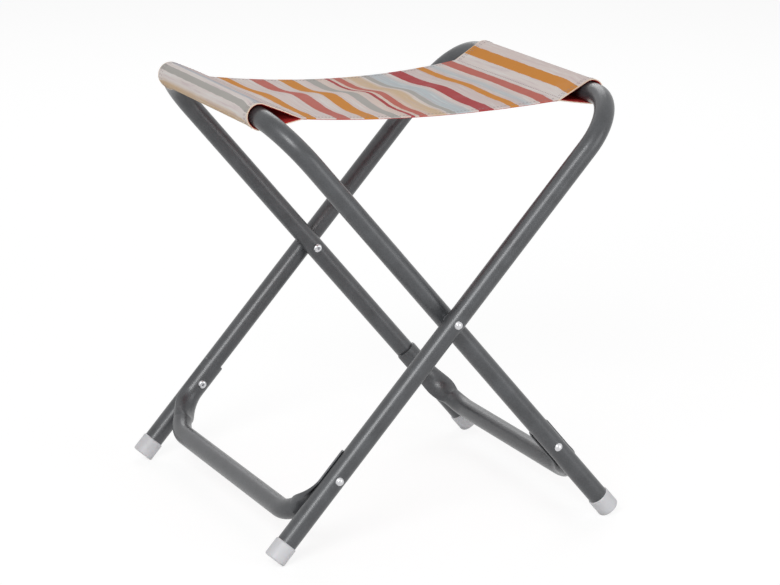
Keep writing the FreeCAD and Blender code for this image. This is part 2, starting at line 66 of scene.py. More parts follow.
class Wire:
    # one socket of a node tree; an expression on wires adds the Math nodes for it
    def __init__(self, sheet, socket):
        self.sheet = sheet
        self.socket = socket

    def sibling(self, name):
        # another output of the same node
        return Wire(self.sheet, self.socket.node.outputs[name])

    def maths(self, operation, *values):
        return self.sheet.add("ShaderNodeMath", {"operation": operation}, dict(enumerate(values)))

    def __add__(self, other):
        return self.maths("ADD", self, other)

    def __radd__(self, other):
        return self.maths("ADD", other, self)

    def __sub__(self, other):
        return self.maths("SUBTRACT", self, other)

    def __rsub__(self, other):
        return self.maths("SUBTRACT", other, self)

    def __mul__(self, other):
        return self.maths("MULTIPLY", self, other)

    def __rmul__(self, other):
        return self.maths("MULTIPLY", other, self)

    def __gt__(self, other):
        return self.maths("GREATER_THAN", self, other)

    def __lt__(self, other):
        return self.maths("LESS_THAN", self, other)

    def __abs__(self):
        return self.maths("ABSOLUTE", self)

    def sine(self):
        return self.maths("SINE", self)

    def orMore(self, other):
        return self.maths("MAXIMUM", self, other)


class NodeSheet:
    # the node tree of a material or a world, filled from empty
    def __init__(self, owner):
        owner.use_nodes = True
        self.owner = owner
        self.nodes = owner.node_tree.nodes
        self.links = owner.node_tree.links
        self.nodes.clear()

    def add(self, kind, settings=None, values=None, output=0):
        # any node: first its settings, such as a ramp's stops, then what its sockets take
        node = self.nodes.new(kind)
        for key, value in (settings or {}).items():
            if key == "stops":
                self.setStops(node.color_ramp, value)
            elif key == "blend":
                node.color_ramp.interpolation = value
            else:
                setattr(node, key, value)
        for key, value in (values or {}).items():
            if isinstance(value, Wire):
                self.links.new(value.socket, node.inputs[key])
            else:
                node.inputs[key].default_value = value
        return Wire(self, node.outputs[output]) if len(node.outputs) else None

    def setStops(self, ramp, stops):
        while len(ramp.elements) < len(stops):
            ramp.elements.new(1.0)
        for element, (place, colour) in zip(ramp.elements, stops):
            element.position = place
            element.color = colour

    def ramp(self, share, stops, blend="LINEAR"):
        return self.add("ShaderNodeValToRGB", {"stops": stops, "blend": blend}, {0: share})

    def mixColour(self, share, first, second):
        values = {0: share, 6: first, 7: second}
        return self.add("ShaderNodeMix", {"data_type": "RGBA"}, values, output=2)

    def noise(self, vector, scale, detail=3.0, roughness=0.55):
        return self.add("ShaderNodeTexNoise", {}, {
            "Vector": vector, "Scale": scale, "Detail": detail, "Roughness": roughness})

    def fade(self, value, begin, finish, first, last):
        # first where the value is at begin, last where it is at finish
        return self.add("ShaderNodeMapRange", {}, {
            "Value": value, "From Min": begin, "From Max": finish, "To Min": first, "To Max": last})

    def bump(self, height, strength, distance):
        return self.add("ShaderNodeBump", {}, {
            "Strength": strength, "Distance": distance, "Height": height})

    def part(self, vector, axis):
        return self.add("ShaderNodeSeparateXYZ", {}, {0: vector}, output=axis)

    def objectPlace(self):
        return self.add("ShaderNodeTexCoord", output=3)

    def weavePlace(self):
        return self.add("ShaderNodeUVMap", {"uv_map": "weave"})

    def seenRays(self):
        # 1 for what the camera sees straight, mirrored or through something clear
        seen = self.add("ShaderNodeLightPath")
        mirrored = seen.sibling("Is Glossy Ray")
        return seen.orMore(mirrored).orMore(seen.sibling("Is Transmission Ray"))

    def finish(self, values):
        shader = self.add("ShaderNodeBsdfPrincipled", {}, values)
        self.add("ShaderNodeOutputMaterial", {}, {"Surface": shader})
        return self.owner


def newMaterial(name):
    return NodeSheet(bpy.data.materials.new(name))


def screenColour(red, green, blue):
    # a colour as it shows on screen, 0 to 255, as the linear value that a socket takes
    def straight(value):
        share = value / 255
        return share / 12.92 if share <= 0.04045 else ((share + 0.055) / 1.055) ** 2.4
    return (straight(red), straight(green), straight(blue), 1.0)


coating = {
    "dark": screenColour(60, 61, 63),
    "light": screenColour(85, 87, 90),
    "darkTo": 0.32,             # the mottle is all dark up to here and all light from lightFrom
    "lightFrom": 0.70,
    "grainScale": 950.0,
    "cloudScale": 60.0,
    "grainShare": 0.55,
    "roughness": 0.38,
    "cloudRoughness": 0.16,
    "grainRoughness": 0.20,
    "metal": 0.25,
    "gloss": 0.26,
    "glossRoughness": 0.22,
    "bump": 0.30,
    "bumpHeight": 0.0004,
}


def makeCoating():
    sheet = newMaterial("frame_coating_grey")
    place = sheet.objectPlace()
    grain = sheet.noise(place, coating["grainScale"], detail=4.0, roughness=0.6)
    cloud = sheet.noise(place, coating["cloudScale"])
    mottle = grain * coating["grainShare"] + cloud * (1 - coating["grainShare"])
    stops = [(coating["darkTo"], coating["dark"]), (coating["lightFrom"], coating["light"])]
    cloudRough = (cloud - 0.5) * coating["cloudRoughness"]
    grainRough = (grain - 0.5) * coating["grainRoughness"]
    return sheet.finish({
        "Base Color": sheet.ramp(mottle, stops),
        "Roughness": coating["roughness"] + cloudRough + grainRough,
        "Metallic": coating["metal"],
        "Coat Weight": coating["gloss"],
        "Coat Roughness": coating["glossRoughness"],
        "Normal": sheet.bump(grain, coating["bump"], coating["bumpHeight"]),
    })


capPlastic = {
    "clean": screenColour(205, 205, 208),
    "scuffed": screenColour(168, 167, 166),
    "nearFloorTone": screenColour(128, 124, 118),
    "scuffScale": 90.0,
    "scuffFrom": 0.55,
    "scuffTo": 0.75,
    "scuffShare": 0.5,
    "nearFloorHeight": 0.006,        # the darker tone fades out this far above the floor
    "nearFloorWander": 0.006,
    "nearFloorShare": 0.35,
    "roughness": 0.46,
    "scuffRoughness": 0.3,
    "grainScale": 420.0,
    "bump": 0.12,
    "bumpHeight": 0.0004,
    "glow": 0.04,
    "glowDepth": 0.004,
}


def makeCapPlastic():
    sheet = newMaterial("foot_plastic_light")
    place = sheet.objectPlace()
    grain = sheet.noise(place, capPlastic["grainScale"])
    scuff = sheet.noise(place, capPlastic["scuffScale"], detail=6.0, roughness=0.7)
    worn = sheet.fade(
        scuff, capPlastic["scuffFrom"], capPlastic["scuffTo"], 0.0, capPlastic["scuffShare"])
    colour = sheet.mixColour(worn, capPlastic["clean"], capPlastic["scuffed"])
    # darker towards the bottom of the cap, near the floor
    height = sheet.part(place, 2) + (scuff - 0.5) * capPlastic["nearFloorWander"]
    low = sheet.fade(height, 0.0, capPlastic["nearFloorHeight"], capPlastic["nearFloorShare"], 0.0)
    return sheet.finish({
        "Base Color": sheet.mixColour(low, colour, capPlastic["nearFloorTone"]),
        "Roughness": capPlastic["roughness"] + (scuff - 0.5) * capPlastic["scuffRoughness"],
        "Normal": sheet.bump(grain, capPlastic["bump"], capPlastic["bumpHeight"]),
        "Subsurface Weight": capPlastic["glow"],
        "Subsurface Scale": capPlastic["glowDepth"],
    })


steel = {
    "rivet": screenColour(222, 222, 224),
    "rivetRoughness": 0.26,
    "spacer": screenColour(190, 190, 192),
    "spacerRoughness": 0.38,
    "shade": screenColour(150, 152, 156),
    "shadeShare": 0.5,
    "cloudScale": 160.0,
    "streakScale": 700.0,
    "streakRoughness": 0.25,
    "bump": 0.10,
    "bumpHeight": 0.0003,
}


def makeSteel(name, colour, roughness):
    sheet = newMaterial(name)
    place = sheet.objectPlace()
    streak = sheet.noise(place, steel["streakScale"], detail=4.0, roughness=0.65)
    cloud = sheet.noise(place, steel["cloudScale"], detail=2.0)
    return sheet.finish({
        "Base Color": sheet.mixColour(cloud * steel["shadeShare"], colour, steel["shade"]),
        "Roughness": roughness + (streak - 0.5) * steel["streakRoughness"],
        "Metallic": 1.0,
        "Normal": sheet.bump(streak, steel["bump"], steel["bumpHeight"]),
    })


coatingMaterial = makeCoating()
capMaterial = makeCapPlastic()
rivetMaterial = makeSteel("rivet_steel_bright", steel["rivet"], steel["rivetRoughness"])
spacerMaterial = makeSteel("spacer_steel_plain", steel["spacer"], steel["spacerRoughness"])
print("metal and plastic finishes made")

for nodeName, nodeObject in frame["nodes"].items():
    if "rivet" in nodeName:
        paintWith(nodeObject, rivetMaterial)
    elif "spacer" in nodeName:
        paintWith(nodeObject, spacerMaterial)
    elif "cap" in nodeName:
        paintWith(nodeObject, capMaterial)
    elif "tube" in nodeName or "stretcher" in nodeName:
        paintWith(nodeObject, coatingMaterial)


seat = {
    "legHalfAngle": math.radians(40.84),
    "leftBarReach": 0.262,      # from the pivot line to a bar, along its legs
    "rightBarReach": 0.266,
    "bendRadius": 0.055,
    "tubeRadius": 0.010,
    "leftLegOffset": 0.1619,
    "rightLegOffset": 0.1849,
    "halfWidth": 0.1230,
    "clothThickness": 0.0009,
    "leftSeam": -0.1323,
    "rightSeam": 0.1429,
    "rightSeamSlant": 0.0012,
    "seamHeight": 0.41485,
    "seamTilt": 0.006,          # the near end of a seam is higher, as a slope
    "flap": 0.007,
    "flapTaper": 0.02,
    "hemSag": 0.0085,
    "hemWaist": 0.010,
    "ridge": 0.0047,            # the long folds' height, their waves and how they fall off
    "foldWaves": 1.5,
    "foldPower": 0.78,
    "leftFadePower": 8,         # how fast the folds grow from each seam
    "rightFadePower": 2,
    "plyGapShare": 1.15,        # the lower ply lies this many cloth thicknesses under the panel
    "lowBow": 0.0002,
    "hemFlare": 0.0005,         # the doubled hem of a sleeve stands a little wider
    "flareFrom": 0.90,
    "flareSpan": 0.06,
    "pushFrom": math.radians(190),  # round a loop, where the bent tube starts to push the cloth
    "pushSpan": math.radians(80),
    "panelColumns": 84,
    "plyColumns": 10,
    "wrapColumns": 22,
    "flapColumns": 2,
    "rows": 96,
    "hemWidth": 0.011,
    "facingRows": 4,
    "facingInset": 0.0007,
    "facingThickness": 0.0006,
    "smoothAngle": math.radians(50),
    "probe": 0.0006,            # the step that finds which way the cloth faces
}
# the sleeves are cut loose: the loop is wider than the tube and stands off outboard and above
sleeves = {
    -1: {"radius": 0.0119, "outboard": 0.0010, "up": 0.0012, "near": -0.1165, "far": 0.1254,
         "bowNear": 0.0002, "bowFar": 0.0004},
    1: {"radius": 0.0115, "outboard": 0.0005, "up": 0.0006, "near": -0.1225, "far": 0.1225,
        "bowNear": 0.0, "bowFar": 0.0},
}
hinge = frame["joints"][0]
pivotHeight = hinge["pos_m"][2]
panelLength = seat["rightSeam"] - seat["leftSeam"]


def smoothStep(value):
    value = min(1.0, max(0.0, value))
    return value * value * (3 - 2 * value)


def barCentre(side):
    # side is -1 for the left bar and 1 for the right
    reach = seat["leftBarReach"] if side < 0 else seat["rightBarReach"]
    angle = seat["legHalfAngle"]
    return Vector((side * reach * math.sin(angle), 0, pivotHeight + reach * math.cos(angle)))


def bendPush(side, across):
    # beyond its corners the tube bends down to the pivot and pushes the lower ply with it
    corner = (seat["leftLegOffset"] if side < 0 else seat["rightLegOffset"]) - seat["bendRadius"]
    beyond = max(0.0, abs(across) - corner)
    inner = seat["bendRadius"] - seat["tubeRadius"]
    push = inner - math.sqrt(inner ** 2 - beyond ** 2)
    angle = seat["legHalfAngle"]
    return Vector((-side * math.sin(angle), 0, -math.cos(angle))) * push


def seamSpot(side, across):
    x = seat["leftSeam"]
    if side > 0:
        slant = seat["rightSeamSlant"] * (1 - across / seat["halfWidth"])
        x = seat["rightSeam"] - seat["rightSeamSlant"] - slant
    return Vector((x, across, seat["seamHeight"] - seat["seamTilt"] * across))


def loopCentre(side):
    loop = sleeves[side]
    return barCentre(side) + Vector((side * loop["outboard"], 0, loop["up"]))


def hemFlare(across):
    out = abs(across) / seat["halfWidth"]
    return seat["hemFlare"] * smoothStep((out - seat["flareFrom"]) / seat["flareSpan"])


def tangentTurns(side):
    # angles above the inboard level where the upper and the lower ply leave the loop
    centre = loopCentre(side)
    seam = seamSpot(side, 0.0)
    inboard = abs(seam.x - centre.x)
    rise = seam.z - centre.z
    spread = math.acos(sleeves[side]["radius"] / math.hypot(inboard, rise))
    tilt = math.atan2(rise, inboard)
    return tilt + spread, tilt - spread


def wrapSpot(side, across, turn):
    loop = sleeves[side]
    radius = loop["radius"] + hemFlare(across)
    share = (across / seat["halfWidth"] + 1) / 2
    y = loop["near"] + (loop["far"] - loop["near"]) * share
    spot = loopCentre(side) + Vector((-side * radius * math.cos(turn), y, radius * math.sin(turn)))
    under = smoothStep((turn % (2 * math.pi) - seat["pushFrom"]) / seat["pushSpan"])
    return spot + bendPush(side, y) * under


def panelSpot(along, across):
    # along runs 0 to 1 between the seams; the cloth sags, narrows and holds long folds
    belly = 4 * along * (1 - along)
    out = min(1.0, abs(across) / seat["halfWidth"])
    wave = math.cos(seat["foldWaves"] * math.pi * out)
    fold = seat["ridge"] * wave * (1 - out) ** seat["foldPower"]
    fade = (1 - along ** seat["rightFadePower"]) * (1 - (1 - along) ** seat["leftFadePower"])
    spot = seamSpot(-1, across).lerp(seamSpot(1, across), along)
    spot.y = across * (1 - seat["hemWaist"] / seat["halfWidth"] * belly)
    spot.z += fold * fade - seat["hemSag"] * belly
    return spot


def plyLengths(side):
    upper, lower = tangentTurns(side)
    radius = sleeves[side]["radius"]
    ply = math.sqrt((seamSpot(side, 0.0) - loopCentre(side)).length ** 2 - radius ** 2)
    return ply, (2 * math.pi - (upper - lower)) * radius


def sleeveLength(side):
    ply, wrap = plyLengths(side)
    return 2 * ply + wrap


def sleeveStations(side):
    ply, wrap = plyLengths(side)
    places = []
    for kind, columns, begin, length in (
            ("top", seat["plyColumns"], 0.0, ply),
            ("wrap", seat["wrapColumns"], ply, wrap),
            ("low", seat["plyColumns"], ply + wrap, ply),
            ("flap", seat["flapColumns"], sleeveLength(side), seat["flap"])):
        for step in range(1, columns + 1):
            share = step / columns
            places.append((kind, share, begin + length * share))
    return places


def stripStations():
    # every column of the strip: side, kind of place, how far along it, run past the left seam
    stations = [(-1, kind, share, -run) for kind, share, run in reversed(sleeveStations(-1))]
    for step in range(seat["panelColumns"] + 1):
        share = step / seat["panelColumns"]
        stations.append((0, "panel", share, panelLength * share))
    stations += [(1, kind, share, panelLength + run) for kind, share, run in sleeveStations(1)]
    return stations


def stripSpot(side, kind, share, across):
    # the middle of the cloth at a column of the strip
    if kind == "panel":
        return panelSpot(share, across)
    upper, lower = tangentTurns(side)
    seam = seamSpot(side, across)
    under = Vector((0, 0, -seat["plyGapShare"] * seat["clothThickness"]))
    if kind == "top":
        loop = sleeves[side]
        place = (across / seat["halfWidth"] + 1) / 2
        bow = loop["bowNear"] + (loop["bowFar"] - loop["bowNear"]) * place ** 3
        lift = Vector((0, 0, bow * math.sin(math.pi * share) ** 2))
        return seam.lerp(wrapSpot(side, across, upper), share) + lift
    if kind == "wrap":
        return wrapSpot(side, across, upper + (2 * math.pi - (upper - lower)) * share)
    if kind == "low":
        bow = Vector((0, 0, -seat["lowBow"] * math.sin(math.pi * share)))
        return wrapSpot(side, across, lower).lerp(seam + under, share) + bow
    inboard = seat["flap"] * share / panelLength
    along = inboard if side < 0 else 1.0 - inboard
    return panelSpot(along, across * (1 - seat["flapTaper"] * share)) + under


stationList = stripStations()
# three sheets that meet at the seams make the strip, and the turned-in flaps go with the panel
sleeveStationLists = {
    -1: [station for station in stationList if station[0] < 0 and station[1] != "flap"],
    1: [station for station in stationList if station[0] > 0 and station[1] != "flap"],
}
panelStationList = [station for station in stationList if station[0] == 0]
sleeveStationLists[-1].append(panelStationList[0])
sleeveStationLists[1].insert(0, panelStationList[-1])
flapStationLists = [
    stationList[:seat["flapColumns"] + 1],
    stationList[-seat["flapColumns"] - 1:],
]


def clothPlace(run, across):
    # a point of the strip by its run past the left seam and its place across
    for first, second in zip(stationList, stationList[1:]):
        if first[3] <= run <= second[3]:
            share = (run - first[3]) / (second[3] - first[3])
            begin = stripSpot(*first[:3], across)
            finish = stripSpot(*second[:3], across)
            return begin.lerp(finish, share)
    last = stationList[0] if run < stationList[0][3] else stationList[-1]
    return stripSpot(*last[:3], across)


def clothOutward(run, across):
    # the way out of the printed face at a point of the strip
    step = seat["probe"]
    alongWay = clothPlace(run + step, across) - clothPlace(run - step, across)
    acrossWay = clothPlace(run, across + step) - clothPlace(run, across - step)
    return alongWay.cross(acrossWay).normalized()


# the print runs a little askew along the near hem
printSkew = {"shift": 0.0033, "begins": 0.72, "span": 0.28}


def printShift(across):
    near = -across / seat["halfWidth"]
    return printSkew["shift"] * smoothStep((near - printSkew["begins"]) / printSkew["span"])


def makeStrip(stations, rows, name, spotOf):
    # a grid laid along the stations; spotOf turns a station and a share of the rows
    # into a point, its run and its place across
    clearSelection()
    columns = len(stations)
    bpy.ops.mesh.primitive_grid_add(x_subdivisions=columns - 1, y_subdivisions=rows - 1, size=2)
    strip = takeObject(name)
    mesh = strip.data
    mesh.uv_layers[0].name = "weave"
    uvLayer = mesh.uv_layers["weave"]
    printPlaces = {}
    for vertex in mesh.vertices:
        column = round((vertex.co.x + 1) / 2 * (columns - 1))
        row = round((vertex.co.y + 1) / 2 * (rows - 1))
        vertex.co, run, across = spotOf(stations[column], row / (rows - 1))
        printPlaces[vertex.index] = (run, across)
    for polygon in mesh.polygons:
        for loopIndex in polygon.loop_indices:
            uvLayer.data[loopIndex].uv = printPlaces[mesh.loops[loopIndex].vertex_index]
    return strip


def makeClothSheet(stations, name):
    def spotOf(station, rowShare):
        side, kind, share, run = station
        across = seat["halfWidth"] * (2 * rowShare - 1)
        return stripSpot(side, kind, share, across), run + printShift(across), across
    return makeStrip(stations, seat["rows"], name, spotOf)


def makeHemFacing(stations, end):
    # red tape sewn inside the hem; end is -1 near and 1 far
    drop = (seat["clothThickness"] + seat["facingThickness"]) / 2

    def spotOf(station, rowShare):
        side, kind, share, run = station
        inset = seat["hemWidth"] * (1 - rowShare if end > 0 else rowShare)
        across = end * (seat["halfWidth"] - seat["facingInset"] - inset)
        spot = stripSpot(side, kind, share, across) - clothOutward(run, across) * drop
        return spot, run, across
    return makeStrip(stations, seat["facingRows"], "hem_facing", spotOf)


clothSheets = {
    0: makeClothSheet(panelStationList, "seat_cloth"),
    -1: makeClothSheet(sleeveStationLists[-1], "sleeve_cloth_left"),
    1: makeClothSheet(sleeveStationLists[1], "sleeve_cloth_right"),
}
seamFlaps = [makeClothSheet(stations, "seam_flap") for stations in flapStationLists]
pointCount = sum(len(sheet.data.vertices) for sheet in clothSheets.values())
print("seat strip laid out:", pointCount, "points")

# the dyes of the print, as screen colours
dyes = {
    "pale": screenColour(232, 232, 230),
    "mauve": screenColour(206, 188, 192),
    "white": screenColour(226, 217, 213),
    "offWhite": screenColour(224, 210, 205),
    "blush": screenColour(217, 200, 196),
    "peach": screenColour(223, 199, 183),
    "sand": screenColour(215, 188, 155),
    "paleBlue": screenColour(193, 202, 206),
    "blueGrey": screenColour(178, 185, 194),
    "stone": screenColour(179, 176, 171),
    "orange": screenColour(213, 141, 60),
    "coral": screenColour(195, 109, 97),
    "crimson": screenColour(177, 70, 73),
}
# the print by its run past the left seam, in millimetres: soft ground tints, then crisp bands
stripes = {
    "first": -160.0,
    "last": 400.0,
    "blank": (0.6, 0.58, 0.58, 0.0),    # between two bands; its alpha lets the ground show
    "wash": [
        (-160, "blush"), (-80, "sand"), (-66, "sand"), (-62, "white"), (-44, "white"),
        (-41, "blueGrey"), (-36, "blueGrey"), (-33, "blush"), (-28, "blush"), (0, "offWhite"),
        (92, "offWhite"), (143, "peach"), (150, "sand"), (158, "sand"), (162, "offWhite"),
        (172, "paleBlue"), (184, "paleBlue"), (190, "offWhite"), (224, "blush"),
        (238, "blush"), (246, "paleBlue"), (253, "offWhite"), (285, "white"),
        (306, "offWhite"), (400, "blush"),
    ],
    "bands": [
        (-57.0, -50.0, "stone"), (8, 17.5, "orange"), (41, 55, "coral"), (71, 86.5, "orange"),
        (98.5, 110.5, "stone"), (121, 125.5, "crimson"), (129, 139.5, "coral"),
        (163.5, 170, "stone"), (194, 209, "crimson"), (226, 235.5, "orange"),
        (257.5, 269.5, "coral"), (286.5, 300.5, "orange"),
    ],
}


def stripeShare(run):
    # run is a number or a wire, in millimetres
    return (run - stripes["first"]) * (1 / (stripes["last"] - stripes["first"]))


weave = {
    "threadsPerMetre": 1500.0,
    "lining": screenColour(190, 52, 50),
    "liningDark": screenColour(160, 38, 40),
    "liningGapShare": 0.5,
    "liningMottleScale": 60.0,
    "liningMottleShare": 0.4,
    "liningPaintedGlow": 0.02,         # painted light: the lining glows faintly in its own colour, standing in for light through the thin cloth
    "roughness": 0.9,
    "sheen": 0.2,
    "bump": 0.35,
    "bumpHeight": 0.0003,
    "gap": screenColour(120, 104, 100),
    "gapShare": 0.18,
}
# the print's own irregular edges, streaks along the stripes and soft smudges, and a painted
# highlight along the hems of the sleeves
printWearAndEdgeHighlight = {
    "wanderScale": 70.0,
    "wander": 1.6,              # how far the edges of a stripe wander and fray, in millimetres
    "frayScale": 900.0,
    "fray": 0.9,
    "frayBump": 0.3,
    "streakScale": 330.0,
    "streakStretch": 0.04,
    "paler": (0.54, 0.66),      # a streak fades in between these values of its noise
    "palerShare": 0.55,
    "greyer": (0.46, 0.36),
    "greyerShare": 0.50,
    "smudgeScale": 26.0,
    "smudge": screenColour(214, 206, 212),
    "smudgeShare": 0.3,
    # painted highlight: the cream colour of a thin light line along the sleeves' hems
    "edge": screenColour(236, 214, 190),
    "edgeWidth": 0.0011,
    "edgeShare": 0.8,
    "noEdgeHighlight": (-2.0, 277.0),    # the panel, in millimetres of run, has no painted edge highlight
}
millimetresPerMetre = 1000.0


def threadPattern(sheet, place):
    # the rows of warp and weft threads of a plain weave
    scale = weave["threadsPerMetre"] * math.pi
    warp = (sheet.part(place, 0) * scale).sine()
    weft = (sheet.part(place, 1) * scale).sine()
    return abs(warp) * 0.5 + abs(weft) * 0.5


def printStripes(sheet, run):
    # the colour of the stripes at a run, and where the bare ground shows between the bands
    share = stripeShare(run)
    washStops = [(stripeShare(spot), dyes[dye]) for spot, dye in stripes["wash"]]
    wash = sheet.ramp(share, washStops)
    bandStops = [(0.0, stripes["blank"])]
    for begin, finish, dye in stripes["bands"]:
        bandStops.append((stripeShare(begin), dyes[dye]))
        bandStops.append((stripeShare(finish), stripes["blank"]))
    bandColour = sheet.ramp(share, bandStops, "CONSTANT")
    bandMask = bandColour.sibling("Alpha")
    return sheet.mixColour(bandMask, wash, bandColour), 1 - bandMask


def makePrintedCloth():
    sheet = newMaterial("cloth_striped_print")
    place = sheet.weavePlace()
    across = sheet.part(place, 1)
    wander = sheet.noise(place, printWearAndEdgeHighlight["wanderScale"], detail=2.0)
    fray = sheet.noise(place, printWearAndEdgeHighlight["frayScale"], detail=2.0)
    straightRun = sheet.part(place, 0) * millimetresPerMetre
    run = straightRun + (wander - 0.5) * printWearAndEdgeHighlight["wander"] + (fray - 0.5) * printWearAndEdgeHighlight["fray"]
    printed, ground = printStripes(sheet, run)
    lengthwise = sheet.add("ShaderNodeCombineXYZ", {}, {
        "X": run * (1 / millimetresPerMetre), "Y": across * printWearAndEdgeHighlight["streakStretch"]})
    streak = sheet.noise(lengthwise, printWearAndEdgeHighlight["streakScale"], roughness=0.65)
    paler = sheet.fade(streak, *printWearAndEdgeHighlight["paler"], 0.0, printWearAndEdgeHighlight["palerShare"])
    greyer = sheet.fade(streak, *printWearAndEdgeHighlight["greyer"], 0.0, printWearAndEdgeHighlight["greyerShare"])
    printed = sheet.mixColour(paler * ground, printed, dyes["pale"])
    printed = sheet.mixColour(greyer * ground, printed, dyes["mauve"])
    smudge = sheet.noise(place, printWearAndEdgeHighlight["smudgeScale"], detail=4.0, roughness=0.6)
    smudged = (smudge - 0.5) * printWearAndEdgeHighlight["smudgeShare"]
    printed = sheet.mixColour(smudged, printed, printWearAndEdgeHighlight["smudge"])
    threads = threadPattern(sheet, place)
    printed = sheet.mixColour((1 - threads) * weave["gapShare"], printed, weave["gap"])
    # painted highlight: a thin cream line along the hems of the sleeves, mixed into the cloth's
    # colour; the panel has none
    atHighlightedEdge = abs(across) > seat["halfWidth"] - printWearAndEdgeHighlight["edgeWidth"]
    first, last = printWearAndEdgeHighlight["noEdgeHighlight"]
    onSleeve = 1 - (run > first) * (run < last)
    printed = sheet.mixColour(atHighlightedEdge * onSleeve * printWearAndEdgeHighlight["edgeShare"], printed, printWearAndEdgeHighlight["edge"])
    relief = threads + fray * printWearAndEdgeHighlight["frayBump"]
    return sheet.finish({
        "Base Color": printed,
        "Roughness": weave["roughness"],
        "Normal": sheet.bump(relief, weave["bump"], weave["bumpHeight"]),
        "Specular IOR Level": weave["sheen"],
    })


def makeLiningCloth():
    sheet = newMaterial("cloth_red_reverse")
    place = sheet.weavePlace()
    threads = threadPattern(sheet, place)
    mottle = sheet.noise(place, weave["liningMottleScale"], detail=4.0)
    cloudy = (mottle - 0.5) * weave["liningMottleShare"]
    shade = (1 - threads) * weave["liningGapShare"] + cloudy
    colour = sheet.mixColour(shade, weave["lining"], weave["liningDark"])
    return sheet.finish({
        "Base Color": colour,
        "Roughness": weave["roughness"],
        "Normal": sheet.bump(threads, weave["bump"], weave["bumpHeight"]),
        "Specular IOR Level": weave["sheen"],
        # painted glow: the lining gives off a little light in its own colour
        "Emission Color": colour,
        "Emission Strength": weave["liningPaintedGlow"],
    })


printedCloth = makePrintedCloth()
liningCloth = makeLiningCloth()
partEndings = {0: "", -1: "_left", 1: "_right"}


def giveThickness(piece, thickness, reverseSlot):
    clearSelection()
    piece.select_set(True)
    bpy.context.view_layer.objects.active = piece
    wall = piece.modifiers.new("thickness", "SOLIDIFY")
    wall.thickness = thickness
    wall.offset = 0.0
    wall.material_offset = reverseSlot
    bpy.ops.object.modifier_apply(modifier=wall.name)
    bpy.ops.object.shade_smooth_by_angle(angle=seat["smoothAngle"])


facings = {}
for part, stations in ((0, panelStationList), *sleeveStationLists.items()):
    tapes = [makeHemFacing(stations, end) for end in (-1, 1)]
    for tape in tapes:
        paintWith(tape, liningCloth)
        giveThickness(tape, seat["facingThickness"], 0)
    facings[part] = joinPieces(tapes, "hem_facing" + partEndings[part])
for sheet in (*clothSheets.values(), *seamFlaps):
    paintWith(sheet, printedCloth, liningCloth)
    giveThickness(sheet, seat["clothThickness"], 1)
clothSheets[0] = joinPieces([clothSheets[0], *seamFlaps], "seat_cloth")
print("cloth thickened, hems faced")


stitch = {
    "length": 0.0026,
    "gap": 0.0012,
    "radius": 0.00030,
    "rise": 0.00005,
    "hemInset": 0.0070,
    "sleeveInsets": (0.0055, 0.0092),
    "seamInset": 0.0012,        # the seam's row runs this far out on the sleeve
    "seamShare": 0.985,
    "panelEnd": 0.001,
    "sleeveEndShare": 0.02,
    "panelSteps": 90,           # a row follows the cloth in this many steps
    "seamSteps": 60,
    "sleeveSteps": 69,
    "thread": screenColour(132, 118, 122),
    "threadLight": screenColour(170, 156, 158),
    "twistScale": 1800.0,
    "threadRoughness": 0.7,
}


def makeThread():
    sheet = newMaterial("thread_muted")
    twist = sheet.noise(sheet.objectPlace(), stitch["twistScale"], detail=2.0)
    colour = sheet.mixColour(twist, stitch["thread"], stitch["threadLight"])
    return sheet.finish({"Base Color": colour, "Roughness": stitch["threadRoughness"]})


threadMaterial = makeThread()


def makeStitchShape():
    clearSelection()
    bpy.ops.mesh.primitive_uv_sphere_add(segments=6, ring_count=4, radius=1.0)
    bpy.ops.object.shade_smooth()
    shape = takeObject("stitch_shape")
    paintWith(shape, threadMaterial)
    return shape


def spotAlong(places, lengths, distance):
    # the (run, across) place at a distance along a line of places
    for index in range(len(lengths) - 1):
        if lengths[index + 1] >= distance:
            share = (distance - lengths[index]) / (lengths[index + 1] - lengths[index])
            begin, finish = places[index], places[index + 1]
            return tuple(b + (f - b) * share for b, f in zip(begin, finish))
    return places[-1]


def stitchLine(shape, places):
    # a row of short raised stitches along (run, across) places of the cloth
    spots = [clothPlace(*place) for place in places]
    lengths = [0.0]
    for first, second in zip(spots, spots[1:]):
        lengths.append(lengths[-1] + (second - first).length)
    pitch = stitch["length"] + stitch["gap"]
    size = Matrix.Diagonal((stitch["length"] / 2, stitch["radius"], stitch["radius"], 1))
    row = []
    for number in range(int(lengths[-1] / pitch)):
        start = number * pitch + stitch["gap"] / 2
        begin = clothPlace(*spotAlong(places, lengths, start))
        finish = clothPlace(*spotAlong(places, lengths, start + stitch["length"]))
        outward = clothOutward(*spotAlong(places, lengths, (number + 0.5) * pitch))
        way = (finish - begin).normalized()
        sideways = outward.cross(way).normalized()
        upward = way.cross(sideways)
        centre = (begin + finish) / 2 + outward * (seat["clothThickness"] / 2 + stitch["rise"])
        turn = Matrix((way, sideways, upward)).transposed().to_4x4()
        copy = shape.copy()
        copy.data = shape.data.copy()
        copy.data.transform(Matrix.Translation(centre) @ turn @ size)
        bpy.context.collection.objects.link(copy)
        row.append(copy)
    return row


def evenly(begin, finish, steps):
    return [begin + (finish - begin) * step / steps for step in range(steps + 1)]


